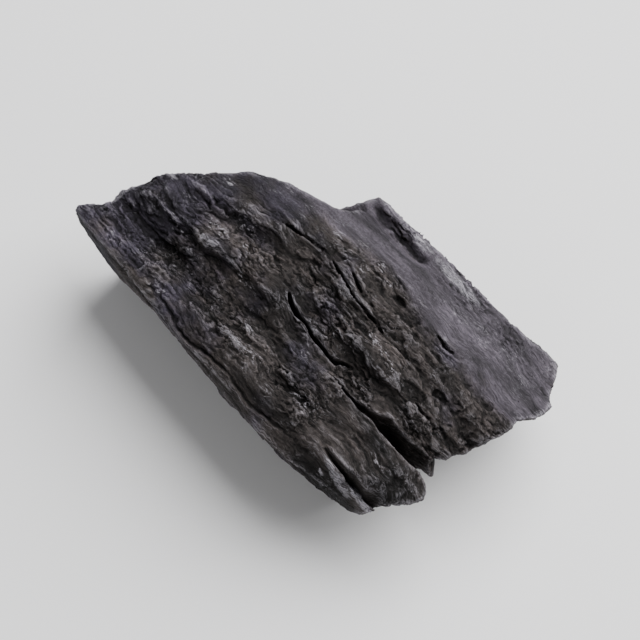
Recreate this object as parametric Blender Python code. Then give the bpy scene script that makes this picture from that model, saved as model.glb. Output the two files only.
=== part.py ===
"""A lump of hardwood charcoal, broken from a split log, lying on its flattest split face.

It is one piece, so it is one solid. The wood grain runs along X. The lump is drawn as it lies: its weathered
outer face looks up, a smoother shoulder slopes down to a raised rim at the back, the end at low X broke
slantwise, and the end at high X is torn into a toe, a splinter and a lobe with a deep cleft between them.
Sizes are in millimetres from the corner where the front edge meets the slanting break.
"""

import math

import bmesh
import bpy
import numpy as np
from mathutils import Vector, noise

MM = 0.001
ORIGIN = Vector((68.1, 37.6, 0.0))  # middle of the lump's base

# Lines that run with the grain, from the slanting break to the torn end, in order round the section.
GRAIN_LINES = {
    "front_foot": [(9, 12, -1), (26, 8, -1), (48, 11, -1), (66, 8, -1), (88, 12, -1), (112, 16, -1)],
    "front_hollow": [(5, 7, 9), (30, 6, 8), (52, 8, 8), (70, 5, 9), (117, 11, 8)],
    "front_belly": [(1, 2, 20), (20, 0, 20), (44, 3, 21), (70, 0, 18), (96, 1, 17), (123, 8, 17)],
    "front_edge": [
        (0, 0, 33.4), (18, -2.7, 35.8), (38, -4.1, 36.6), (60, -4.3, 36.6),
        (81, -2.9, 36.4), (104, -2, 33), (114, 0.5, 29.5), (127, 5.4, 24.5),
    ],
    "edge_roll": [
        (2, 4, 35.5), (35, 3.4, 38.7), (80, 3.4, 39.6), (110, 5.2, 37), (120, 6.6, 34.4), (131, 8.8, 29.5),
    ],
    "valley": [
        (4, 11, 34.5), (30, 11, 35), (50, 13, 37), (90, 13, 38.5),
        (112, 12, 36.5), (129, 13.6, 33), (134, 14, 27.5),
    ],
    "ledge": [(5, 19, 36.5), (40, 21, 38), (70, 22, 38.5), (110, 18, 37.4), (130, 19.6, 32), (135, 20, 26.5)],
    "crack_side": [(8, 26, 38), (40, 27, 39), (68, 28, 39.5), (110, 27, 36.5), (127, 28, 31)],
    "face_middle": [(18, 36, 38.5), (60, 36, 40), (100, 36, 38.5), (120, 37, 35), (132, 38, 29)],
    "face_back": [(24, 46, 38), (60, 46, 41), (100, 46, 39.5), (136, 48, 32)],
    "shoulder_top": [(31, 52, 37.5), (60, 52.5, 40), (96, 53, 38.5), (137, 56, 32)],
    "shoulder": [(50, 59, 35.5), (75, 61, 36), (104, 63, 34), (135, 66, 28)],
    "groove": [(55, 67, 31), (78, 69, 31.5), (104, 71, 29), (131, 73, 24)],
    "rim": [(53, 72, 32), (75, 74, 31), (98, 75, 28), (126, 79, 24)],
    "back_belly": [(52, 75, 20), (80, 77.5, 18), (104, 77, 15), (122, 78, 13)],
    "back_foot": [(50, 67, -1), (80, 69, -1), (112, 70, -1)],
    "under_middle": [(30, 42, 1.5), (70, 44, 3), (114, 44, 1.5)],
    "under_front": [(16, 24, -1), (60, 25, 0), (112, 26, -1)],
}
STATIONS = 24
BREAK_MIDDLE = (24, 34, 18)  # the slanting break bulges out to here
TORN_MIDDLE = (120, 42, 16)  # and the torn end reaches in to here

# Gaps that opened as the wood shrank: depth, way in, widths at the mouth, and route along the surface.
# The widths are spread evenly along the route.
DOWN, BACKWARD, FORWARD = (0, 0, -1), (0, 1, 0), (0, -1, 0)
CRACKS = {
    "cleft": (
        14, DOWN, (0.8, 1.6, 1.3, 1.1, 1.2),
        [(64.5, 29.4, 39), (69, 26.7, 39), (84, 25, 38), (91, 25, 38)],
    ),
    "cleft_branch": (6, DOWN, (1.1, 0.9, 0.4), [(89.5, 25, 38), (92.6, 27.4, 38), (98, 29.4, 38)]),
    "cleft_mouth": (
        22, DOWN, (1.1, 1.3, 3.6, 5.8, 6.6, 7.4),
        [
            (91, 20.9, 38), (99, 22, 38), (109, 22.6, 37.5), (114, 24.2, 37),
            (121, 24.7, 36), (128, 26, 34), (144, 27.5, 32),
        ],
    ),
    "splinter_cleft": (
        7, DOWN, (0.4, 2.4, 3.0, 2.6), [(108, 5.8, 37), (120, 6.6, 33), (127, 8, 31), (136, 11, 29)],
    ),
    "long_crack": (
        8, DOWN, (0.4, 0.9, 1.1, 1.1, 1.2, 0.9, 0.4),
        [
            (38, 38.5, 39), (45, 41, 40), (57, 44.7, 41), (64, 44.7, 41),
            (72, 43.1, 41), (81, 41.4, 41), (101, 41.2, 40), (111, 41, 38),
        ],
    ),
    "lens_crack": (
        5, DOWN, (0.5, 1.5, 1.3, 0.5), [(67, 48, 41), (73, 45.9, 41), (80, 44.4, 41), (91, 42.2, 41)],
    ),
    "slot": (7, DOWN, (0.8, 1.6, 1.6, 0.8), [(101.5, 53, 39), (109, 52.6, 38.5)]),
    "low_crack": (
        7, DOWN, (0.3, 1.3, 1.0, 0.3), [(109, 37, 37.5), (114, 34.3, 37), (121, 34.8, 36), (127, 36, 34)],
    ),
    "face_crack": (5, DOWN, (0.3, 0.8, 0.3), [(78, 10.5, 38.5), (83, 12, 38.5), (90, 13.5, 38)]),
    "shoulder_crack": (
        3, DOWN, (0.3, 0.8, 0.7, 0.3), [(31, 49.8, 38.5), (50, 49, 40), (60, 51.5, 40), (73, 54, 39)],
    ),
    "front_check": (
        9, BACKWARD, (0.3, 2.0, 1.4, 0.3), [(20, 0, 25), (36, -1, 23), (54, 0, 22), (82, -1, 23)],
    ),
    "front_check_low": (
        8, BACKWARD, (0.3, 1.8, 1.2, 0.3), [(60, 3, 12), (78, 3, 12), (94, 3, 12.5), (112, 5, 13)],
    ),
    "back_check": (
        9, FORWARD, (0.3, 2.4, 1.6, 0.3), [(54, 77, 17), (70, 78, 19), (88, 79, 18.5), (106, 79, 16)],
    ),
}

# Steps on the weathered face where layers flaked off: rise behind the route, how far it carries, and route.
LEDGES = [
    (2.4, 10, [(6, 16.5), (16, 18.2), (27, 19), (41, 19.6), (48, 20.8), (58, 23), (70, 22)]),
    (1.9, 12, [(14, 28), (26, 31), (39, 34), (46, 37), (58, 37.5)]),
    (1.8, 9, [(66, 33), (80, 34), (96, 31), (112, 32)]),
    (1.1, 8, [(78, 9), (90, 10.5), (104, 11)]),
    (1.5, 6, [(46, 3), (60, 5), (76, 5)]),
]
# Hollows that run with the grain: depth, half width, and route.
HOLLOWS = {
    "valley": (1.5, 3.4, [(8, 13.5), (19, 12), (29, 11.5), (38, 10.5), (47, 9.5), (56, 9)]),
    "under_slab": (1.0, 2.6, [(38, 31.5), (46, 34), (56, 34)]),
    "rim_groove": (1.9, 2.2, [(52, 69.8), (58, 69), (64, 69.4), (71, 68.2), (80, 68.6)]),
    "dent": (1.2, 2.4, [(83, 51), (91, 51)]),
}
FACE_HEIGHT = 24  # above this the skin is the weathered face
PITH = Vector((0, 52, -70))  # the growth rings run round this line, which lies along X
VOXEL = 0.65  # size of the fine skin's faces
SKIN_KEPT = 0.04  # share of them that the solid keeps
COLOUR = (0.028, 0.027, 0.030, 1.0)
ROUGHNESS = 0.68


def along(line, share):
    """The point at this share of a line's length."""
    points = [Vector(p) for p in line]
    lengths = [(b - a).length for a, b in zip(points, points[1:])]
    left = share * sum(lengths)
    for a, b, length in zip(points, points[1:], lengths):
        if left <= length:
            return a.lerp(b, left / length)
        left -= length
    return points[-1]


def loft(lines):
    """The split block: a skin through the grain lines, closed by a fan at each end."""
    mesh = bmesh.new()
    rings = [
        [mesh.verts.new(along(line, station / STATIONS)) for line in lines.values()]
        for station in range(STATIONS + 1)
    ]
    for near, far in zip(rings, rings[1:]):
        for i, vertex in enumerate(near):
            after = (i + 1) % len(near)
            mesh.faces.new((vertex, near[after], far[after], far[i]))
    for ring, middle in ((rings[0], BREAK_MIDDLE), (rings[-1], TORN_MIDDLE)):
        hub = mesh.verts.new(middle)
        for i, vertex in enumerate(ring):
            mesh.faces.new((vertex, ring[(i + 1) % len(ring)], hub))
    bmesh.ops.recalc_face_normals(mesh, faces=mesh.faces)
    return mesh


def wedge(depth, inward, widths, route):
    """A cutter with a V section that wanders along a crack."""
    lip = 4.0  # how far it stands out of the surface
    inward = Vector(inward)
    length = sum((Vector(b) - Vector(a)).length for a, b in zip(route, route[1:]))
    steps = max(2, round(length / 4))
    points = [along(route, i / steps) for i in range(steps + 1)]
    mesh = bmesh.new()
    rings = []
    for i, point in enumerate(points):
        tangent = (points[min(i + 1, steps)] - points[max(i - 1, 0)]).normalized()
        side = tangent.cross(inward).normalized()
        ragged = noise.noise_vector(point / 5)
        width = (1 + 0.5 * ragged.x) * np.interp(i / steps, np.linspace(0, 1, len(widths)), widths)
        middle = point + side * ragged.y
        half = width / 2 * (depth + lip) / depth
        floor = depth * math.sqrt(min(1, width / max(widths)))
        rings.append([
            mesh.verts.new(middle - inward * lip + side * half),
            mesh.verts.new(middle - inward * lip - side * half),
            mesh.verts.new(middle + inward * floor + side * ragged.z),
        ])
    for near, far in zip(rings, rings[1:]):
        for i in range(3):
            after = (i + 1) % 3
            mesh.faces.new((near[i], near[after], far[after], far[i]))
    mesh.faces.new(rings[0])
    mesh.faces.new(rings[-1])
    bmesh.ops.triangulate(mesh, faces=mesh.faces)
    bmesh.ops.recalc_face_normals(mesh, faces=mesh.faces)
    return mesh


def smooth(low, high, value):
    """0 at low and before it, 1 at high and past it, and an S curve between."""
    t = min(1.0, max(0.0, (value - low) / (high - low)))
    return t * t * (3 - 2 * t)


def streak(p, long, wide, seed):
    """Noise from -1 to 1, stretched along the grain: long and wide are its sizes."""
    return noise.noise(Vector((p.x / long, p.y / wide, p.z / wide)) + Vector((seed, 3.7 * seed, 1.3 * seed)))


def plates(p, long, wide, seed):
    """Plates that flaked, longer along the grain: each has its own height and slope, with steps between."""
    warp = 0.4 * noise.noise(Vector((p.x / (0.4 * long), p.y / (0.8 * wide), seed)))
    spot = Vector((p.x / long, p.y / wide + warp, p.z / wide + seed))
    distances, centres = noise.voronoi(spot)
    heights = []
    for centre in centres[:2]:
        own = noise.cell_vector(centre * 31)
        heights.append(own.x - 0.5 + 0.9 * own.y * (spot.y - centre.y) + 0.9 * own.z * (spot.z - centre.z))
    clear = smooth(0.0, 0.16, distances[1] - distances[0])
    return heights[0] * (0.5 + 0.5 * clear) + heights[1] * (0.5 - 0.5 * clear)


def route_y(route, x):
    """The Y of a route at this X, and how far inside its two ends X is."""
    for (xa, ya), (xb, yb) in zip(route, route[1:]):
        if xa <= x <= xb:
            return ya + (yb - ya) * (x - xa) / (xb - xa), min(x - route[0][0], route[-1][0] - x)
    return None, 0


def ledge_rise(p):
    """Height of the flaked layers above the plain face."""
    rise = 0.0
    for height, carry, route in LEDGES:
        y, inside = route_y(route, p.x)
        if y is None:
            continue
        wander = 1.4 * noise.noise(Vector((p.x / 7, height, carry)))
        notch = 0.6 * noise.noise(Vector((p.x / 2.5, carry, height)))
        behind = p.y - y - wander - notch
        rise += height * smooth(0, 8, inside) * smooth(-0.5, 0.5, behind) * (1 - smooth(2, carry, behind))
    return rise


def hollow_depth(p):
    """Depth of the hollows that run with the grain."""
    total = 0.0
    for depth, half, route in HOLLOWS.values():
        y, inside = route_y(route, p.x)
        if y is None:
            continue
        ragged = noise.noise_vector(Vector((p.x / 4, depth, half)))
        off = abs(p.y - y - 0.8 * ragged.y)
        total += (1 + 0.6 * ragged.x) * depth * smooth(0, 5, inside) * (1 - smooth(0.2 * half, half, off))
    return total


def flutes(p):
    """Long shallow grooves that run with the grain."""
    return 1.6 * streak(p, 70, 9, 1) + 0.5 * streak(p, 40, 3.6, 2)


def weathered_face(p):
    """The log's outer face: flakes of two sizes and fine grit, calmer where big plates are left."""
    calm = smooth(8, 16, p.x) * (1 - smooth(52, 64, p.x)) * smooth(21, 26, p.y)
    flakes = 1.0 * plates(p, 26, 7, 4) + 0.6 * plates(p, 11, 3.6, 5)
    return 0.5 * flutes(p) + (1 - 0.6 * calm) * flakes + 0.25 * streak(p, 7, 2.5, 8)


def split_face(p):
    """A face that split along the grain: long strips, with steps where the split changed layer."""
    return flutes(p) + 2.6 * plates(p, 60, 9, 3) + 1.2 * plates(p, 30, 4.5, 6)


def broken_end(p):
    """An end that broke across the grain, in blocks that follow the growth rings."""
    out = p - PITH
    radius = math.hypot(out.y, out.z)
    ring = Vector((radius * math.atan2(out.y, out.z), radius, 0.3 * p.x))
    return 2.4 * plates(ring, 17, 6, 9) + 1.2 * plates(ring, 8, 2.6, 10) + 1.5 * streak(p, 60, 12, 7)


def relief(p, normal):
    """How far the skin stands out at p, along its normal."""
    end = normal.x * normal.x  # 1 on the broken ends, 0 on faces that run with the grain
    top = smooth(0.35, 0.75, normal.z) * smooth(FACE_HEIGHT - 6, FACE_HEIGHT, p.z)
    shoulder = top * smooth(50, 56, p.y)
    weathered = top - shoulder
    with_grain = (1 - top) * split_face(p) + weathered * weathered_face(p) + shoulder * 0.5 * flutes(p)
    toe = smooth(122, 128, p.x) * smooth(26, 22, p.y)  # rubbed rounder than the rest of the torn end
    across_grain = end * (1 - 0.6 * toe) * broken_end(p)
    return (1 - end) * with_grain + across_grain + weathered * ledge_rise(p) - top * hollow_depth(p)


def add_object(name, mesh, collection):
    """Puts a bmesh drawn in millimetres from the corner into the scene, in metres from the base's middle."""
    for vertex in mesh.verts:
        vertex.co = (vertex.co - ORIGIN) * MM
    data = bpy.data.meshes.new(name)
    mesh.to_mesh(data)
    mesh.free()
    obj = bpy.data.objects.new(name, data)
    collection.objects.link(obj)
    return obj


def add_boolean(obj, name, cutters):
    """Cuts everything in the collection of cutters from obj."""
    cut = obj.modifiers.new(name, "BOOLEAN")
    cut.operation = "DIFFERENCE"
    cut.operand_type = "COLLECTION"
    cut.collection = cutters


def add_cutters(name, meshes):
    """A collection of hidden cutters, by name."""
    collection = bpy.data.collections.new(name)
    bpy.context.scene.collection.children.link(collection)
    for cutter_name, mesh in meshes.items():
        cutter = add_object(cutter_name, mesh, collection)
        cutter.hide_render = True
        cutter.display_type = "WIRE"
    return collection


def add_skin(obj, name):
    """Wraps obj in one even, closed skin."""
    skin = obj.modifiers.new(name, "REMESH")
    skin.mode = "VOXEL"
    skin.voxel_size = VOXEL * MM


def settle(obj):
    """Makes what the modifiers give the object's own mesh."""
    bpy.context.view_layer.update()
    graph = bpy.context.evaluated_depsgraph_get()
    settled = bpy.data.meshes.new_from_object(obj.evaluated_get(graph))
    obj.modifiers.clear()
    obj.data = settled


def carve(obj):
    """Moves each point of the skin in or out by its relief."""
    mesh = obj.data
    normals = [v.normal.copy() for v in mesh.vertices]
    for vertex, normal in zip(mesh.vertices, normals):
        p = vertex.co / MM + ORIGIN
        vertex.co += normal * relief(p, normal) * MM
    mesh.update()


def drop_crumbs(obj):
    """Keeps the lump and removes the crumbs that the cracks cut loose."""
    mesh = bmesh.new()
    mesh.from_mesh(obj.data)
    waiting = set(mesh.faces)
    bodies = []
    while waiting:
        body = {waiting.pop()}
        front = list(body)
        while front:
            for edge in front.pop().edges:
                fresh = waiting.intersection(edge.link_faces)
                waiting -= fresh
                body |= fresh
                front.extend(fresh)
        bodies.append(body)
    lump = max(bodies, key=len)
    bmesh.ops.delete(mesh, geom=[face for face in mesh.faces if face not in lump], context="FACES")
    mesh.to_mesh(obj.data)
    mesh.free()


def ground():
    """A block under the lump that cuts its flat rest."""
    mesh = bmesh.new()
    bmesh.ops.create_cube(mesh, size=1)
    for vertex in mesh.verts:
        vertex.co = Vector((vertex.co.x * 300, vertex.co.y * 300, vertex.co.z * 40 - 20)) + ORIGIN
    return mesh


def charcoal():
    """Matt near-black carbon with a faint grey sheen."""
    material = bpy.data.materials.new("charcoal")
    material.use_nodes = True
    surface = material.node_tree.nodes["Principled BSDF"]
    surface.inputs["Base Color"].default_value = COLOUR
    surface.inputs["Roughness"].default_value = ROUGHNESS
    surface.inputs["Metallic"].default_value = 0.0
    return material


def main():
    for old in list(bpy.data.objects):
        bpy.data.objects.remove(old)
    lump = add_object("charcoal_lump", loft(GRAIN_LINES), bpy.context.scene.collection)
    add_skin(lump, "skin")
    settle(lump)
    carve(lump)
    worn = lump.modifiers.new("worn", "SMOOTH")
    worn.factor = 0.4
    worn.iterations = 1
    add_skin(lump, "clean_skin")
    thin = lump.modifiers.new("thin", "DECIMATE")
    thin.ratio = SKIN_KEPT
    add_boolean(lump, "cracks", add_cutters("cracks", {name: wedge(*gap) for name, gap in CRACKS.items()}))
    add_boolean(lump, "rest", add_cutters("ground", {"ground": ground()}))
    settle(lump)
    drop_crumbs(lump)
    lump.data.materials.append(charcoal())


main()
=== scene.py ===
import math

import bpy
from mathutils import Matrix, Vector


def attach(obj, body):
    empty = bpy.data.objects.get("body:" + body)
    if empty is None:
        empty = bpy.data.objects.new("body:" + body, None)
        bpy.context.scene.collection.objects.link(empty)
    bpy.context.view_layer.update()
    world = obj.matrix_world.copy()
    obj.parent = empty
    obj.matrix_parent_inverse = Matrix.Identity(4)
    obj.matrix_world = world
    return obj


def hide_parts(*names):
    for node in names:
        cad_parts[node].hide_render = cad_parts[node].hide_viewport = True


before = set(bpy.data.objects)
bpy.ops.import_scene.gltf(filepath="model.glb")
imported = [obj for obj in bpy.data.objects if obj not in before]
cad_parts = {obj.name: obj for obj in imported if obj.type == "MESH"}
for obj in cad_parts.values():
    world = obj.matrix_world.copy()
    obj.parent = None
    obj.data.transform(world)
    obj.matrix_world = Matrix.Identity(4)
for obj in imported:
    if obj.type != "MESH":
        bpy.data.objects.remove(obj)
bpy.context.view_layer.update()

bpy.ops.object.select_all(action="DESELECT")


# The lump's body. A billet of hardwood was split from a log and charred through without air, so it kept its
# grain but shrank, cracked and flaked. It is one piece: the fine body starts as a copy of the solid, wrapped in
# an even skin that is dense enough to take the relief of the fibres.
MM = 0.001
SAME_POINT = 0.01 * MM
SKIN = 0.36 * MM

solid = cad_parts["charcoal_lump"]
lump = bpy.data.objects.new("charred_wood", solid.data.copy())
bpy.context.scene.collection.objects.link(lump)
bpy.context.view_layer.objects.active = lump
lump.select_set(True)
bpy.ops.object.mode_set(mode="EDIT")
bpy.ops.mesh.select_all(action="SELECT")
bpy.ops.mesh.remove_doubles(threshold=SAME_POINT)
bpy.ops.mesh.normals_make_consistent(inside=False)
bpy.ops.mesh.customdata_custom_splitnormals_clear()
bpy.ops.object.mode_set(mode="OBJECT")
skin = lump.modifiers.new("even skin", "REMESH")
skin.mode = "VOXEL"
skin.voxel_size = SKIN
bpy.ops.object.modifier_apply(modifier=skin.name)
worn = lump.modifiers.new("worn edges", "SMOOTH")
worn.factor = 0.5
worn.iterations = 3
bpy.ops.object.modifier_apply(modifier=worn.name)


# The relief of the charred grain. Along the sides the wood split with its fibres, so they stand out as long
# ridges. The weathered face flaked in plates and crumbled between them, and the ends broke across the grain.
# Places are in mm from the lump's front corner by the slanting break: x along the grain, y across it, z up.
CORNER = (68.1, 37.6, 0.0)  # from that corner to the middle of the base
TO_MM = (1 / MM, 1 / MM, 1 / MM)
SOFT = "SMOOTHSTEP"


def put(tree, kind, inputs=None, out=0, **settings):
    """Adds a node with its settings, sets or links its inputs, and gives back one of its outputs."""
    made = tree.nodes.new(kind)
    for name, value in settings.items():
        setattr(made, name, value)
    for key, value in (inputs or {}).items():
        if isinstance(value, bpy.types.NodeSocket):
            tree.links.new(value, made.inputs[key])
        else:
            made.inputs[key].default_value = value
    return None if out is None else made.outputs[out]


relief = bpy.data.node_groups.new("charred grain relief", "GeometryNodeTree")
relief.interface.new_socket("Geometry", in_out="INPUT", socket_type="NodeSocketGeometry")
relief.interface.new_socket("Geometry", in_out="OUTPUT", socket_type="NodeSocketGeometry")
body = put(relief, "NodeGroupInput")
place = put(relief, "GeometryNodeInputPosition")
facing = put(relief, "GeometryNodeInputNormal")
spot = put(relief, "ShaderNodeVectorMath", {0: place, 1: TO_MM, 2: CORNER}, operation="MULTIPLY_ADD")

# masks: the ends face along X; the weathered face and the shoulder are high up and face up
facing_x = put(relief, "ShaderNodeSeparateXYZ", {0: facing}, out=0)
facing_z = put(relief, "ShaderNodeSeparateXYZ", {0: facing}, out=2)
along_x = put(relief, "ShaderNodeSeparateXYZ", {0: spot}, out=0)
along_y = put(relief, "ShaderNodeSeparateXYZ", {0: spot}, out=1)
along_z = put(relief, "ShaderNodeSeparateXYZ", {0: spot}, out=2)
end_side = put(relief, "ShaderNodeMath", {0: facing_x}, operation="ABSOLUTE")
ends = put(relief, "ShaderNodeMapRange", {0: end_side, 1: 0.55, 2: 0.8}, interpolation_type=SOFT)
upward = put(relief, "ShaderNodeMapRange", {0: facing_z, 1: 0.3, 2: 0.7}, interpolation_type=SOFT)
high = put(relief, "ShaderNodeMapRange", {0: along_z, 1: 20.0, 2: 26.0}, interpolation_type=SOFT)
top = put(relief, "ShaderNodeMath", {0: upward, 1: high}, operation="MULTIPLY")

# The grain wanders by about 2 mm over some 20 mm of the lump, and by less than 1 mm over some 2 mm. What
# follows the grain is read from a place that is pushed about by this.
MIDDLE = (0.5, 0.5, 0.5)  # of a noise's or a cell's colour
SLOW = (4.0, 9.0, 9.0)  # mm of push from the lowest to the highest value of its noise
QUICK = (3.0, 1.6, 1.6)


def wander(tree, at):
    """Gives the quick push alone, and the place pushed along and across the grain."""
    drift = put(tree, "ShaderNodeTexNoise", {"Vector": at, "Scale": 0.045, "Detail": 2.0}, out="Color")
    drift = put(tree, "ShaderNodeVectorMath", {0: drift, 1: MIDDLE}, operation="SUBTRACT")
    push = put(tree, "ShaderNodeTexNoise", {"Vector": at, "Scale": 0.45, "Detail": 2.0}, out="Color")
    push = put(tree, "ShaderNodeVectorMath", {0: push, 1: MIDDLE}, operation="SUBTRACT")
    pushed = put(tree, "ShaderNodeVectorMath", {0: drift, 1: SLOW, 2: at}, operation="MULTIPLY_ADD")
    pushed = put(tree, "ShaderNodeVectorMath", {0: push, 1: QUICK, 2: pushed}, operation="MULTIPLY_ADD")
    return push, pushed


wobble, grain = wander(relief, spot)

# the shoulder starts behind a ragged line that bulges back in the middle of the lump
bulge = put(relief, "ShaderNodeMath", {0: along_x, 1: 77.0}, operation="SUBTRACT")
bulge = put(relief, "ShaderNodeMath", {0: bulge}, operation="ABSOLUTE")
bulge = put(relief, "ShaderNodeMapRange", {0: bulge, 1: 22.0, 2: 0.0, 4: 5.0}, interpolation_type=SOFT)
ragged = put(relief, "ShaderNodeVectorMath", {0: grain, 1: (0.12, 0.3, 0.3)}, operation="MULTIPLY")
ragged = put(relief, "ShaderNodeTexNoise", {"Vector": ragged, "Scale": 1.0, "Detail": 4.0, "Roughness": 0.6})
ragged = put(relief, "ShaderNodeMath", {0: ragged, 1: 12.0, 2: -6.0}, operation="MULTIPLY_ADD")
behind = put(relief, "ShaderNodeMath", {0: along_y, 1: bulge}, operation="SUBTRACT")
behind = put(relief, "ShaderNodeMath", {0: behind, 1: ragged}, operation="SUBTRACT")
past_ridge = put(relief, "ShaderNodeMapRange", {0: behind, 1: 47.5, 2: 56.0}, interpolation_type=SOFT)
shoulder = put(relief, "ShaderNodeMath", {0: top, 1: past_ridge}, operation="MULTIPLY")

# fibres: single ones are far too fine to show, so they are drawn as ridges about 1 mm wide and 14 mm long
fibres = put(relief, "ShaderNodeVectorMath", {0: grain, 1: (0.07, 1.0, 1.0)}, operation="MULTIPLY")
fibres = put(relief, "ShaderNodeTexNoise", {"Vector": fibres, "Scale": 1.0, "Detail": 4.0, "Roughness": 0.6})
fibres = put(relief, "ShaderNodeMath", {0: fibres, 1: 0.5}, operation="SUBTRACT")

# ribs: wavy ridges about 3 mm wide and 25 mm long, where bands of harder wood stand out
ribs = put(relief, "ShaderNodeVectorMath", {0: grain, 1: (0.045, 0.3, 0.3)}, operation="MULTIPLY")
ribs = put(relief, "ShaderNodeTexNoise", {"Vector": ribs, "Scale": 1.0, "Detail": 3.0, "Distortion": 0.4})
ribs = put(relief, "ShaderNodeMath", {0: ribs, 1: 0.5}, operation="SUBTRACT")


# plates about 12 by 4 mm and chips about 5 by 1.5 mm: each has its own height and its own tilt
def lean(tree, at):
    """Cells that each lean their own way: how high the lean puts a place in its cell, and the lean itself."""
    cells = put(tree, "ShaderNodeTexVoronoi", {"Vector": at, "Scale": 1.0}, out="Color")
    middle = cells.node.outputs["Position"]
    tilt = put(tree, "ShaderNodeVectorMath", {0: cells, 1: MIDDLE}, operation="SUBTRACT")
    arm = put(tree, "ShaderNodeVectorMath", {0: at, 1: middle}, operation="SUBTRACT")
    slope = put(tree, "ShaderNodeVectorMath", {0: tilt, 1: arm}, operation="DOT_PRODUCT", out="Value")
    return slope, tilt


plate_place = put(relief, "ShaderNodeVectorMath", {0: grain, 1: (0.085, 0.26, 0.26)}, operation="MULTIPLY")
plate_slope, plate_tilt = lean(relief, plate_place)
plates = put(relief, "ShaderNodeSeparateXYZ", {0: plate_tilt})
plates = put(relief, "ShaderNodeMath", {0: plate_slope, 1: 1.3, 2: plates}, operation="MULTIPLY_ADD")
chip_place = put(relief, "ShaderNodeVectorMath", {0: grain, 1: (0.2, 0.68, 0.68)}, operation="MULTIPLY")
chip_slope, chip_tilt = lean(relief, chip_place)
chips = put(relief, "ShaderNodeSeparateXYZ", {0: chip_tilt})
chips = put(relief, "ShaderNodeMath", {0: chip_slope, 1: 1.5, 2: chips}, operation="MULTIPLY_ADD")

# crumbs and pits, about 4 by 1 mm
crumbs = put(relief, "ShaderNodeVectorMath", {0: grain, 1: (0.25, 0.9, 0.9)}, operation="MULTIPLY")
crumbs = put(relief, "ShaderNodeTexNoise", {"Vector": crumbs, "Scale": 1.0, "Detail": 5.0, "Roughness": 0.65})
crumbs = put(relief, "ShaderNodeMath", {0: crumbs, 1: 0.5}, operation="SUBTRACT")


# checks that follow the grain: some about 20 mm long, and hair checks half as long
def gaps(tree, at, detail, open_to, shut_from, ramp="LINEAR"):
    """Thin gaps where a noise crosses its middle value: 1 in a gap, 0 where the wood is shut."""
    away = put(tree, "ShaderNodeTexNoise", {"Vector": at, "Scale": 1.0, "Detail": detail})
    away = put(tree, "ShaderNodeMath", {0: away, 1: 0.5}, operation="SUBTRACT")
    away = put(tree, "ShaderNodeMath", {0: away}, operation="ABSOLUTE")
    stops = {0: away, 1: open_to, 2: shut_from, 3: 1.0, 4: 0.0}
    return put(tree, "ShaderNodeMapRange", stops, interpolation_type=ramp)


checks = put(relief, "ShaderNodeVectorMath", {0: grain, 1: (0.05, 0.28, 0.28)}, operation="MULTIPLY")
checks = gaps(relief, checks, 2.0, 0.0, 0.03, SOFT)
hairs = put(relief, "ShaderNodeVectorMath", {0: grain, 1: (0.11, 0.6, 0.6)}, operation="MULTIPLY")
hairs = gaps(relief, hairs, 2.0, 0.0, 0.04, SOFT)

# a splinter line: a groove beside the front edge, which bows out by 4.8 mm in the middle of its 110 mm
bow = put(relief, "ShaderNodeMath", {0: along_x, 1: 55.0}, operation="SUBTRACT")
bow = put(relief, "ShaderNodeMath", {0: bow, 1: bow}, operation="MULTIPLY")
from_edge = put(relief, "ShaderNodeSeparateXYZ", {0: grain}, out=1)
from_edge = put(relief, "ShaderNodeMath", {0: bow, 1: -4.8 / 55 ** 2, 2: from_edge}, operation="MULTIPLY_ADD")
groove = put(relief, "ShaderNodeMath", {0: from_edge, 1: 1.6}, operation="ADD")
groove = put(relief, "ShaderNodeMath", {0: groove}, operation="ABSOLUTE")
groove = put(relief, "ShaderNodeMapRange", {0: groove, 1: 0.1, 2: 0.7, 3: 1.0, 4: 0.0}, interpolation_type=SOFT)
starts = put(relief, "ShaderNodeMapRange", {0: along_x, 1: 22.0, 2: 44.0})
stops_at = put(relief, "ShaderNodeMapRange", {0: along_x, 1: 103.0, 2: 94.0})
lasts = put(relief, "ShaderNodeMath", {0: starts, 1: stops_at}, operation="MULTIPLY")
for mask in (lasts, top):
    groove = put(relief, "ShaderNodeMath", {0: groove, 1: mask}, operation="MULTIPLY")

# growth rings round a pith that lies 70 mm below the lump; they stand out where it broke across the grain
PITH = (0.0, 52.0, -70.0)
ACROSS = (0.0, 1.0, 1.0)
RING = 2.4  # mm of wood that a year added

from_pith = put(relief, "ShaderNodeVectorMath", {0: spot, 1: PITH}, operation="SUBTRACT")
from_pith = put(relief, "ShaderNodeVectorMath", {0: from_pith, 1: ACROSS}, operation="MULTIPLY")
radius = put(relief, "ShaderNodeVectorMath", {0: from_pith}, operation="LENGTH", out="Value")
uneven = put(relief, "ShaderNodeTexNoise", {"Vector": spot, "Scale": 0.12, "Detail": 3.0})
radius = put(relief, "ShaderNodeMath", {0: uneven, 1: 7.0, 2: radius}, operation="MULTIPLY_ADD")
rings = put(relief, "ShaderNodeMath", {0: radius, 1: math.tau / RING}, operation="MULTIPLY")
rings = put(relief, "ShaderNodeMath", {0: rings}, operation="SINE")
ringed = put(relief, "ShaderNodeMath", {0: rings, 1: ends}, operation="MULTIPLY")


# a small dent in front of the shoulder
def oval(tree, at, x, y, long, wide, rim, core, most=1.0, ramp=SOFT):
    """An oval seen from above, half its length and width given: 0 out from its rim, most in from its core."""
    away = put(tree, "ShaderNodeVectorMath", {0: at, 1: (x, y, 0.0)}, operation="SUBTRACT")
    away = put(tree, "ShaderNodeVectorMath", {0: away, 1: (1 / long, 1 / wide, 0.0)}, operation="MULTIPLY")
    away = put(tree, "ShaderNodeVectorMath", {0: away}, operation="LENGTH", out="Value")
    return put(tree, "ShaderNodeMapRange", {0: away, 1: rim, 2: core, 4: most}, interpolation_type=ramp)


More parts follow.
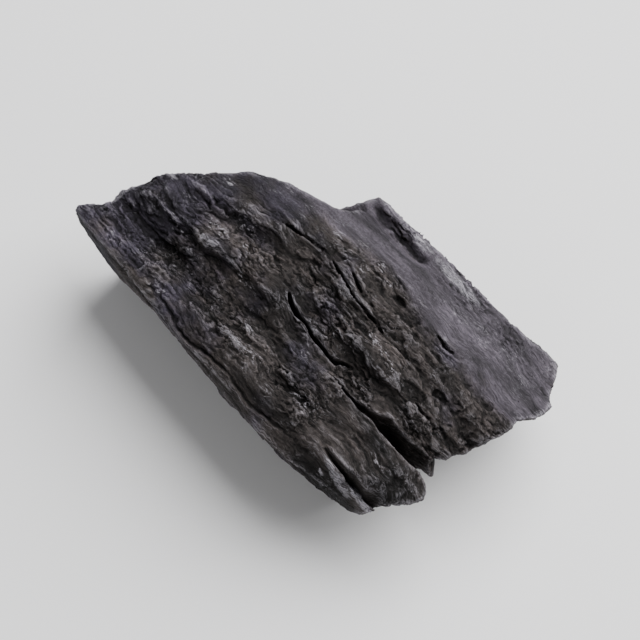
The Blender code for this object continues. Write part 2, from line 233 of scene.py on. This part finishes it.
dent = oval(relief, spot, 86.8, 51.8, 3.6, 1.3, rim=1.0, core=0.3)
dent = put(relief, "ShaderNodeMath", {0: dent, 1: top}, operation="MULTIPLY")

# How rough each place is. The plates beside the slanting break, the front edge with its strip, the toe, the
# shoulder and the ends stayed calm, and the shoulder is a little rougher by its rim.
patchy = put(relief, "ShaderNodeTexNoise", {"Vector": spot, "Scale": 0.07, "Detail": 2.0})
rough = put(relief, "ShaderNodeMapRange", {0: patchy, 1: 0.38, 2: 0.6, 3: 0.5, 4: 1.0}, interpolation_type=SOFT)
calm_x = put(relief, "ShaderNodeMapRange", {0: along_x, 1: 66.0, 2: 54.0}, interpolation_type=SOFT)
calm_y = put(relief, "ShaderNodeMapRange", {0: along_x, 1: 20.0, 2: 30.0, 4: -11.0}, interpolation_type=SOFT)
calm_y = put(relief, "ShaderNodeMath", {0: calm_y, 1: along_y}, operation="ADD")
calm_y = put(relief, "ShaderNodeMapRange", {0: calm_y, 1: 21.0, 2: 26.0}, interpolation_type=SOFT)
calm = put(relief, "ShaderNodeMath", {0: calm_x, 1: calm_y}, operation="MULTIPLY")
calm = put(relief, "ShaderNodeMath", {0: calm, 1: top}, operation="MULTIPLY")
front = put(relief, "ShaderNodeMapRange", {0: along_y, 1: 7.0, 2: 2.0}, interpolation_type=SOFT)
toe_x = put(relief, "ShaderNodeMapRange", {0: along_x, 1: 94.0, 2: 110.0}, interpolation_type=SOFT)
toe_y = put(relief, "ShaderNodeMapRange", {0: along_y, 1: 26.0, 2: 21.0}, interpolation_type=SOFT)
toe = put(relief, "ShaderNodeMath", {0: toe_x, 1: toe_y}, operation="MULTIPLY")
strip = put(relief, "ShaderNodeMapRange", {0: from_edge, 1: -1.2, 2: -2.2}, interpolation_type=SOFT)
nearing_rim = {0: along_y, 1: 66.0, 2: 69.0, 3: -0.9, 4: -0.45}
by_rim = put(relief, "ShaderNodeMapRange", nearing_rim, interpolation_type=SOFT)
for where, change in (
    (calm, -0.6), (front, -0.55), (toe, -0.55), (strip, -0.5), (shoulder, by_rim), (ends, -0.4),
):
    rough = put(relief, "ShaderNodeMath", {0: where, 1: change, 2: rough}, operation="MULTIPLY_ADD")
rough = put(relief, "ShaderNodeMath", {0: rough, 1: 0.06}, operation="MAXIMUM")

# the walls of the cracks are plain: they face sideways, high up and away from the outer walls
walls = put(relief, "ShaderNodeMapRange", {0: facing_z, 1: 0.6, 2: 0.3}, interpolation_type=SOFT)
from_front = put(relief, "ShaderNodeMapRange", {0: along_y, 1: 3.0, 2: 6.0})
from_back = put(relief, "ShaderNodeMapRange", {0: along_y, 1: 71.0, 2: 68.0})
from_ends = put(relief, "ShaderNodeMath", {0: 1.0, 1: ends}, operation="SUBTRACT")
for mask in (high, from_front, from_back, from_ends):
    walls = put(relief, "ShaderNodeMath", {0: walls, 1: mask}, operation="MULTIPLY")
plain = put(relief, "ShaderNodeMath", {0: walls, 1: -0.7, 2: 1.0}, operation="MULTIPLY_ADD")

# All forms are added up, in mm: the fibres show everywhere, most where the wood split clean, and the flaked
# forms by how rough the place is. The skin is then moved by the sum, but not below the floor.
split = put(relief, "ShaderNodeMath", {0: front, 1: toe}, operation="MAXIMUM")
strength = put(relief, "ShaderNodeMath", {0: split, 1: 0.6, 2: 0.6}, operation="MULTIPLY_ADD")
rise = put(relief, "ShaderNodeMath", {0: fibres, 1: strength}, operation="MULTIPLY")
flutes = put(relief, "ShaderNodeMath", {0: ribs, 1: toe}, operation="MULTIPLY")
for form, tall in ((groove, -0.7), (ringed, 0.12), (dent, -1.0), (flutes, 1.6)):
    rise = put(relief, "ShaderNodeMath", {0: form, 1: tall, 2: rise}, operation="MULTIPLY_ADD")
flaked = plates
for form, tall in ((ribs, 2.4), (chips, 0.4), (crumbs, 0.4), (checks, -0.7), (hairs, -0.35)):
    flaked = put(relief, "ShaderNodeMath", {0: form, 1: tall, 2: flaked}, operation="MULTIPLY_ADD")
rise = put(relief, "ShaderNodeMath", {0: flaked, 1: rough, 2: rise}, operation="MULTIPLY_ADD")
for factor in (plain, MM):
    rise = put(relief, "ShaderNodeMath", {0: rise, 1: factor}, operation="MULTIPLY")
moved = put(relief, "ShaderNodeVectorMath", {0: facing, "Scale": rise}, operation="SCALE")
moved = put(relief, "ShaderNodeVectorMath", {0: moved, 1: place}, operation="ADD")
moved = put(relief, "ShaderNodeVectorMath", {0: moved, 1: (-1.0, -1.0, 0.0)}, operation="MAXIMUM")
shaped = put(relief, "GeometryNodeSetPosition", {"Geometry": body, "Position": moved})

# how far each place lies below (or above) what is around it, in mm, closely and widely, kept for the finish
now = put(relief, "GeometryNodeInputPosition")
sunk_by = []
for steps in (12, 90):
    around = put(relief, "GeometryNodeBlurAttribute", {0: now, "Iterations": steps}, data_type="FLOAT_VECTOR")
    below = put(relief, "ShaderNodeVectorMath", {0: around, 1: now}, operation="SUBTRACT")
    below = put(relief, "ShaderNodeVectorMath", {0: below, 1: facing}, operation="DOT_PRODUCT", out="Value")
    sunk_by.append(put(relief, "ShaderNodeMath", {0: below, 1: 1 / MM}, operation="MULTIPLY"))
hollow, valley = sunk_by
kept = shaped
for name, value in (
    ("hollow", hollow), ("valley", valley), ("rough", rough),
    ("shoulder", shoulder), ("ends", ends), ("rings", rings),
):
    stored = {"Geometry": kept, "Name": name, "Value": value}
    kept = put(relief, "GeometryNodeStoreNamedAttribute", stored, data_type="FLOAT")
put(relief, "NodeGroupOutput", {0: kept}, out=None)

carved = lump.modifiers.new("charred grain", "NODES")
carved.node_group = relief
bpy.ops.object.modifier_apply(modifier=carved.name)

# it is cut into triangles before it is thinned, because thinned squares can leave two faces back to back
MOST_FACES = 195000
halved = lump.modifiers.new("triangles", "TRIANGULATE")
bpy.ops.object.modifier_apply(modifier=halved.name)
thin = lump.modifiers.new("fewer faces", "DECIMATE")
thin.ratio = min(1.0, MOST_FACES / len(lump.data.polygons))
bpy.ops.object.modifier_apply(modifier=thin.name)
bpy.ops.object.shade_smooth()


# Charred hardwood: the skin of a lump that was fired at about 500 degrees and rubbed against others. It is near
# black and matt, purple grey where plates of it stayed whole and brown grey where it crumbled, and the freshly
# rubbed fibres have the silvery sheen of graphite, painted in as glints. Shade and highlights are painted in
# too.
PURPLE_CHAR = "#26232A"
BROWN_CHAR = "#2A2625"
LIT_SHOULDER_CHAR = "#353137"
GRAPHITE_GLINT = "#9A979E"


def linear(code):
    """An sRGB hex colour as linear red, green, blue and alpha."""
    parts = [int(code[i:i + 2], 16) / 255 for i in (1, 3, 5)]
    return tuple(v / 12.92 if v <= 0.04045 else ((v + 0.055) / 1.055) ** 2.4 for v in parts) + (1.0,)


char = bpy.data.materials.new("charred hardwood, matt with graphite sheen")
char.use_nodes = True
finish = char.node_tree
surface = finish.nodes["Principled BSDF"]
surface.inputs["IOR"].default_value = 1.55
surface.inputs["Metallic"].default_value = 0.0
surface.inputs["Specular IOR Level"].default_value = 0.12  # pores swallow most of what a closed skin mirrors
here = put(finish, "ShaderNodeTexCoord", out=3)
here = put(finish, "ShaderNodeVectorMath", {0: here, 1: TO_MM, 2: CORNER}, operation="MULTIPLY_ADD")
further = put(finish, "ShaderNodeSeparateXYZ", {0: here}, out=0)
height = put(finish, "ShaderNodeSeparateXYZ", {0: here}, out=2)
hollow, valley, rough, shoulder, ends, rings = (
    put(finish, "ShaderNodeAttribute", out=2, attribute_name=name)
    for name in ("hollow", "valley", "rough", "shoulder", "ends", "rings")
)
wobble, grain = wander(finish, here)

# purple grey where the char stayed whole, brown grey where it crumbled, more so towards the torn end
blotch = put(finish, "ShaderNodeTexNoise", {"Vector": here, "Scale": 0.06, "Detail": 4.0, "Roughness": 0.6})
blotch = put(finish, "ShaderNodeMath", {0: further, 1: 0.0026, 2: blotch}, operation="MULTIPLY_ADD")
tint = put(finish, "ShaderNodeMapRange", {0: blotch, 1: 0.52, 2: 0.7})

# bundles of fibres, drawn about 0.4 mm wide because single ones are too fine to show, and shorter flecks of char
streaks = put(finish, "ShaderNodeVectorMath", {0: grain, 1: (0.16, 2.4, 2.4)}, operation="MULTIPLY")
streaks = put(finish, "ShaderNodeTexNoise", {"Vector": streaks, "Scale": 1.0, "Detail": 5.0, "Roughness": 0.6})
flecks = put(finish, "ShaderNodeVectorMath", {0: grain, 1: (0.4, 1.9, 1.9)}, operation="MULTIPLY")
flecks = put(finish, "ShaderNodeTexNoise", {"Vector": flecks, "Scale": 1.0, "Detail": 5.0, "Roughness": 0.7})
mottle = put(finish, "ShaderNodeMix", {0: rough, 2: streaks, 3: flecks}, out=0)

# on the ends, rays run out from the pith across the growth rings
outward = put(finish, "ShaderNodeVectorMath", {0: here, 1: PITH}, operation="SUBTRACT")
outward = put(finish, "ShaderNodeVectorMath", {0: outward, 1: ACROSS}, operation="MULTIPLY")
outward = put(finish, "ShaderNodeVectorMath", {0: outward}, operation="NORMALIZE")
rays = put(finish, "ShaderNodeVectorMath", {0: outward, 1: (0.0, 90.0, 90.0)}, operation="MULTIPLY")
rays = put(finish, "ShaderNodeVectorMath", {0: here, 1: (0.5, 0.06, 0.06), 2: rays}, operation="MULTIPLY_ADD")
rays = put(finish, "ShaderNodeTexNoise", {"Vector": rays, "Scale": 1.0, "Detail": 3.0})
cut = put(finish, "ShaderNodeMath", {0: rings, 1: 0.05, 2: rays}, operation="MULTIPLY_ADD")
cut = put(finish, "ShaderNodeMix", {0: 0.35, 2: cut, 3: flecks}, out=0)
mottle = put(finish, "ShaderNodeMix", {0: ends, 2: mottle, 3: cut}, out=0)

# How light each place is. The calm places are even and sandy, the crumbled ones mottled; hollows and valleys get
# painted shade and crests a painted highlight; broad bands follow the grain, and the ends get painted shade.
sand = put(finish, "ShaderNodeTexNoise", {"Vector": here, "Scale": 1.6, "Detail": 3.0, "Roughness": 0.7})
sandy = put(finish, "ShaderNodeMapRange", {0: further, 1: 76.0, 2: 92.0, 3: 0.6, 4: 0.15})
sanded = put(finish, "ShaderNodeMix", {0: sandy, 2: mottle, 3: sand}, out=0)
even = put(finish, "ShaderNodeMapRange", {0: sanded, 1: 0.38, 2: 0.64, 3: 0.6, 4: 1.7})
shade = put(finish, "ShaderNodeMapRange", {0: mottle, 1: 0.36, 2: 0.66, 3: 0.35, 4: 1.9})
crumbled = put(finish, "ShaderNodeMapRange", {0: rough, 1: 0.1, 2: 0.9})
shade = put(finish, "ShaderNodeMix", {0: crumbled, 2: even, 3: shade}, out=0)
# painted shade in hollows and valleys, and a painted highlight on crests
hollow_shade = put(finish, "ShaderNodeMapRange", {0: hollow, 1: -0.02, 2: 0.2, 3: 1.0, 4: 0.3})
crest_highlight = put(finish, "ShaderNodeMapRange", {0: hollow, 1: -0.03, 2: -0.25, 3: 1.0, 4: 1.8})
valley_shade = put(finish, "ShaderNodeMapRange", {0: valley, 1: -0.1, 2: 1.1, 3: 1.0, 4: 0.6})
bands = put(finish, "ShaderNodeVectorMath", {0: grain, 1: (0.06, 0.25, 0.25)}, operation="MULTIPLY")
bands = put(finish, "ShaderNodeTexNoise", {"Vector": bands, "Scale": 1.0, "Detail": 3.0})
bands = put(finish, "ShaderNodeMapRange", {0: bands, 1: 0.33, 2: 0.67, 3: 0.45, 4: 1.65})
# painted shade on the ends
end_shade = put(finish, "ShaderNodeMapRange", {0: ends, 3: 1.0, 4: 0.65})
for factor in (hollow_shade, crest_highlight, valley_shade, bands, end_shade):
    shade = put(finish, "ShaderNodeMath", {0: shade, 1: factor}, operation="MULTIPLY")

# places that are paler or darker than the rest, and browner: where they lie along and across the grain, half
# their length and width, how much paler (darker below 0), and how much browner; some darker ones are painted
# shade
loose = put(finish, "ShaderNodeVectorMath", {0: wobble, 1: (5.0, 3.0, 0.0), 2: here}, operation="MULTIPLY_ADD")
for x, y, long, wide, paler, browner in (
    # the plates beside the slanting break
    (39, 27.5, 15, 6, 0.8, 0.7), (22, 30, 16, 7, 0.3, 0), (48, 29.5, 9, 4.5, 0.6, 0.3),
    (53, 22.5, 8, 3.5, 0.5, 0.5),
    # the front edge and its strip
    (26, 3, 22, 4.5, 1.2, 0), (46, 1.5, 12, 3, 0.4, 0), (30, -2, 14, 2.5, 0.5, 1.0), (16, 1.5, 8, 3, 0.6, 0),
    # painted shade where the front edge rolls down below the splinter
    (114, 0, 18, 4, -0.85, 0.5), (122, 3, 10, 2.6, -0.8, 0),
    # the rough face, and painted shade in its valleys
    (72, 9, 13, 5, 0.4, 0), (93, 11, 9, 4, 0.35, 0.4), (97, 38, 10, 4, 0.5, 0), (83, 31, 7, 2.6, 0.5, 0),
    (66, 28, 11, 7, -0.55, 0), (72, 24, 13, 8, -0.5, 0.6), (50, 39.5, 9, 3.6, -0.4, 0),
    (78, 15, 5, 3, -0.35, 0), (30, 13, 24, 4, -0.3, 0), (112, 20, 10, 3.5, -0.3, 0), (100, 30, 15, 6, -0.3, 0.4),
    # the toe, with painted shade over it, darkest on its end
    (116.5, 14.5, 9, 2.6, 0.5, 0.6), (116, 18.5, 8, 3, -0.5, 0), (129, 14, 8, 9, -0.85, 0),
    (103, 6, 13, 5, 0.0, 0.8), (120, 14, 14, 9, -0.25, 0),
    # in front of the shoulder and on its border
    (74, 54, 7, 4, 0.3, 0), (59, 51, 10, 3.5, 0.35, 0.6), (108, 51.3, 6, 3, 0.4, -1.0),
    (90, 54, 14, 3.5, -0.2, 1.0),
):
    near = oval(finish, loose, x, y, long, wide, rim=1.1, core=0.3)
    browned = {0: near, 1: browner, 2: tint}
    tint = put(finish, "ShaderNodeMath", browned, operation="MULTIPLY_ADD", use_clamp=True)
    change = put(finish, "ShaderNodeMath", {0: near, 1: paler, 2: 1.0}, operation="MULTIPLY_ADD")
    shade = put(finish, "ShaderNodeMath", {0: shade, 1: change}, operation="MULTIPLY")
chars = {0: tint, 6: linear(PURPLE_CHAR), 7: linear(BROWN_CHAR)}
colour = put(finish, "ShaderNodeMix", chars, out=2, data_type="RGBA")

# the shoulder's grey, its lilac grey made lighter with painted light where it faces the lamp, frays out along
# its border
frayed = put(finish, "ShaderNodeMath", {0: flecks, 1: 1.3, 2: shoulder}, operation="MULTIPLY_ADD")
frayed = put(finish, "ShaderNodeMapRange", {0: frayed, 1: 0.7, 2: 1.6})
chars = {0: frayed, 6: colour, 7: linear(LIT_SHOULDER_CHAR)}
colour = put(finish, "ShaderNodeMix", chars, out=2, data_type="RGBA")

# hair cracks along the grain, drawn 0.4 mm wide so that they show, and broken into short pieces
lines = put(finish, "ShaderNodeVectorMath", {0: grain, 1: (0.09, 0.42, 0.42)}, operation="MULTIPLY")
lines = gaps(finish, lines, 3.0, 0.004, 0.02)
broken = put(finish, "ShaderNodeTexNoise", {"Vector": here, "Scale": 0.22, "Detail": 2.0})
broken = put(finish, "ShaderNodeMapRange", {0: broken, 1: 0.46, 2: 0.52})
lines = put(finish, "ShaderNodeMath", {0: lines, 1: broken}, operation="MULTIPLY")
lines = put(finish, "ShaderNodeMath", {0: lines, 1: rough}, operation="MULTIPLY", use_clamp=True)
shut = put(finish, "ShaderNodeMath", {0: 1.0, 1: lines}, operation="SUBTRACT", use_clamp=True)
shade = put(finish, "ShaderNodeMath", {0: shade, 1: shut}, operation="MULTIPLY")
colour = put(finish, "ShaderNodeVectorMath", {0: colour, "Scale": shade}, operation="SCALE")

# graphite: its silvery sheen painted as glints, pale flecks on what stands proud, thin all over and thick in the
# places that were rubbed, given as above
cluster = put(finish, "ShaderNodeTexNoise", {"Vector": here, "Scale": 0.13, "Detail": 3.0})
cluster = put(finish, "ShaderNodeMapRange", {0: cluster, 1: 0.48, 2: 0.68, 4: 0.55})
for x, y, long, wide in (
    (12, 27.3, 2, 2), (16, 2.2, 6, 2), (24, 39, 4, 1.5), (25, 18.6, 9, 0.9), (36, 26, 9, 3),
    (37, 20.8, 4, 1.6), (39, 1.3, 6, 2), (40.5, 33, 5, 1), (46, 28.5, 6, 2), (54, 21.5, 7, 1.8),
    (59, 52, 4, 1.8), (66, 7.6, 8, 3), (66, 13, 3, 2), (72, 50.5, 3, 2.4), (74, 8.4, 7, 3),
    (74, 55, 3, 2.4), (79, 27.6, 7, 1.4), (80.5, 53, 3, 1.2), (83, 31, 6, 1.6), (92, 37.2, 6, 2.2),
    (94, 10, 7, 2.4), (98, 37.2, 6, 2), (102, 35.3, 3, 1.4), (120, 15.5, 4, 1.8),
):
    near = oval(finish, loose, x, y, long, wide, rim=1.0, core=0.3)
    cluster = put(finish, "ShaderNodeMath", {0: cluster, 1: near}, operation="MAXIMUM")
proud = put(finish, "ShaderNodeMapRange", {0: hollow, 1: 0.06, 2: -0.06})
cluster = put(finish, "ShaderNodeMath", {0: cluster, 1: proud}, operation="MULTIPLY", use_clamp=True)
scales = put(finish, "ShaderNodeVectorMath", {0: grain, 1: (0.75, 2.4, 2.4)}, operation="MULTIPLY")
flaky = {"Vector": scales, "Scale": 1.0, "Detail": 3.0, "Roughness": 0.6, "Distortion": 0.6}
scales = put(finish, "ShaderNodeTexNoise", flaky)
scales = put(finish, "ShaderNodeMath", {0: cluster, 1: 0.06, 2: scales}, operation="MULTIPLY_ADD")
scales = put(finish, "ShaderNodeMapRange", {0: scales, 1: 0.54, 2: 0.66})
glint = put(finish, "ShaderNodeMath", {0: scales, 1: cluster}, operation="MULTIPLY", use_clamp=True)
glint = put(finish, "ShaderNodeMath", {0: glint, 1: 0.8}, operation="MULTIPLY")

# Small facets broke clean, and each gets a painted highlight: by the rim, on the splinter's edge, along the edge
# of the slanting break, and two chips near it. The last number is how bright each painted highlight is.
high_up = put(finish, "ShaderNodeMapRange", {0: height, 1: 24.0, 2: 27.0})
streaky = put(finish, "ShaderNodeMapRange", {0: streaks, 1: 0.4, 2: 0.64, 3: 0.1, 4: 0.9})
nearly = put(finish, "ShaderNodeVectorMath", {0: wobble, 1: (4.0, 1.2, 0.0), 2: here}, operation="MULTIPLY_ADD")
for x, y, long, wide, bright in (
    (72.5, 72.6, 5, 1.7, 1.0), (88.5, 72.6, 9, 1.9, 1.0), (116, 4.6, 5.5, 1.0, 1.2), (124, 6.4, 6, 1.1, 1.5),
    (112.5, 2.1, 0.9, 0.45, 1.2), (5.6, 14, 1.1, 8, 1.0), (12.4, 27.6, 1.5, 0.5, 1.2),
    (25.3, 38.6, 1.1, 0.5, 1.3),
):
    near = oval(finish, nearly, x, y, long, wide, rim=1.2, core=0.6, most=bright, ramp="LINEAR")
    near = put(finish, "ShaderNodeMath", {0: near, 1: high_up}, operation="MULTIPLY")
    near = put(finish, "ShaderNodeMath", {0: near, 1: streaky}, operation="MULTIPLY", use_clamp=True)
    glint = put(finish, "ShaderNodeMath", {0: glint, 1: near}, operation="MAXIMUM")

# crests are rubbed grey and get a painted highlight, more so where graphite is thick, and the top edge of the
# slanting break gets a painted highlight too
rubbed_and_lit = put(finish, "ShaderNodeMapRange", {0: valley, 1: -0.25, 2: -0.8, 4: 0.4})
rubbed_and_lit = put(finish, "ShaderNodeMath", {0: cluster, 1: rubbed_and_lit, 2: rubbed_and_lit}, operation="MULTIPLY_ADD")
turning = put(finish, "ShaderNodeMapRange", {0: ends, 1: 0.02, 2: 0.3})
turned = put(finish, "ShaderNodeMapRange", {0: ends, 1: 0.95, 2: 0.5})
by_break = put(finish, "ShaderNodeMapRange", {0: further, 1: 45.0, 2: 35.0, 4: 0.5})
by_top = put(finish, "ShaderNodeMapRange", {0: height, 1: 30.0, 2: 34.0})
lit_break_edge = turning
for mask in (turned, by_break, by_top):
    lit_break_edge = put(finish, "ShaderNodeMath", {0: lit_break_edge, 1: mask}, operation="MULTIPLY")
rubbed_and_lit = put(finish, "ShaderNodeMath", {0: rubbed_and_lit, 1: lit_break_edge}, operation="MAXIMUM")
threads = put(finish, "ShaderNodeMapRange", {0: streaks, 1: 0.42, 2: 0.62})
rubbed_and_lit = put(finish, "ShaderNodeMath", {0: rubbed_and_lit, 1: threads}, operation="MULTIPLY", use_clamp=True)
glint = put(finish, "ShaderNodeMath", {0: glint, 1: rubbed_and_lit}, operation="MAXIMUM")
glinted = {0: glint, 6: colour, 7: linear(GRAPHITE_GLINT)}
colour = put(finish, "ShaderNodeMix", glinted, out=2, data_type="RGBA")
finish.links.new(colour, surface.inputs["Base Color"])
matt = put(finish, "ShaderNodeMapRange", {0: mottle, 1: 0.3, 2: 0.7, 3: 0.78, 4: 0.5})
matt = put(finish, "ShaderNodeMath", {0: glint, 1: -0.2, 2: matt}, operation="MULTIPLY_ADD")
finish.links.new(matt, surface.inputs["Roughness"])

# tiny facets, about 2 by 0.6 mm, that each tilt their own way and so catch the light one by one; the
# shoulder's grit is finer and softer
facets = put(finish, "ShaderNodeVectorMath", {0: grain, 1: (0.4, 1.8, 1.8)}, operation="MULTIPLY")
facets, _ = lean(finish, facets)
facets = put(finish, "ShaderNodeMath", {0: facets, 1: rough}, operation="MULTIPLY")
softened = put(finish, "ShaderNodeMapRange", {0: shoulder, 3: 1.0, 4: 0.4})
fine = put(finish, "ShaderNodeMix", {0: shoulder, 2: mottle, 3: sanded}, out=0)
fine = put(finish, "ShaderNodeMath", {0: fine, 1: softened}, operation="MULTIPLY")
fine = put(finish, "ShaderNodeMath", {0: facets, 1: fine}, operation="ADD")
fine = put(finish, "ShaderNodeMath", {0: lines, 1: -0.5, 2: fine}, operation="MULTIPLY_ADD")
bump = put(finish, "ShaderNodeBump", {"Height": fine, "Strength": 1.0, "Distance": 0.8 * MM})
finish.links.new(bump, surface.inputs["Normal"])

lump.data.materials.clear()
lump.data.materials.append(char)
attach(lump, "root")
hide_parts("charcoal_lump")


# The place it is shown in: a pale matt floor, a large soft light above and to the right behind it, and a weak
# one in front.
bpy.ops.mesh.primitive_plane_add(size=12.0, location=(0, 0, -0.2 * MM))
floor = bpy.context.active_object
floor.name = "floor"
pale = bpy.data.materials.new("pale matt floor")
pale.use_nodes = True
pale.node_tree.nodes["Principled BSDF"].inputs["Base Color"].default_value = linear("#EDEDEE")
pale.node_tree.nodes["Principled BSDF"].inputs["Roughness"].default_value = 0.9
floor.data.materials.append(pale)

world = bpy.data.worlds.new("soft white room")
bpy.context.scene.world = world
world.use_nodes = True
world.node_tree.nodes["Background"].inputs["Color"].default_value = (1, 1, 1, 1)
world.node_tree.nodes["Background"].inputs["Strength"].default_value = 0.22

for name, at, size, power in (
    ("key", (0.05, 0.75, 0.90), 1.5, 48),
    ("fill", (0.3, -0.9, 0.5), 0.8, 3),
):
    bpy.ops.object.light_add(type="AREA", location=at)
    lamp = bpy.context.active_object
    lamp.name = name
    lamp.data.size = size
    lamp.data.energy = power
    lamp.rotation_euler = (-Vector(at)).to_track_quat("-Z", "Y").to_euler()

# The camera looks down on the lump from its torn end's side, as the photo does, through a lens of about 127 mm.
AZIMUTH, ELEVATION = math.radians(51), math.radians(60)
REACH = 0.662
SENSOR = 36.0
TAKEN_IN = math.radians(24)  # by a plain lens, and this one is longer
LONGER = 1.5

target = Vector((0.0, 0.0, 18 * MM))
level = math.cos(ELEVATION)
back = Vector((math.sin(AZIMUTH) * level, -math.cos(AZIMUTH) * level, math.sin(ELEVATION)))
bpy.ops.object.camera_add(location=target + back * REACH)
camera = bpy.context.active_object
camera.rotation_euler = (-back).to_track_quat("-Z", "Y").to_euler()
camera.data.sensor_width = SENSOR
camera.data.lens = SENSOR / 2 / math.tan(TAKEN_IN / 2) * LONGER
camera.data.clip_start = 10 * MM
bpy.context.scene.camera = camera

bpy.context.view_layer.update()
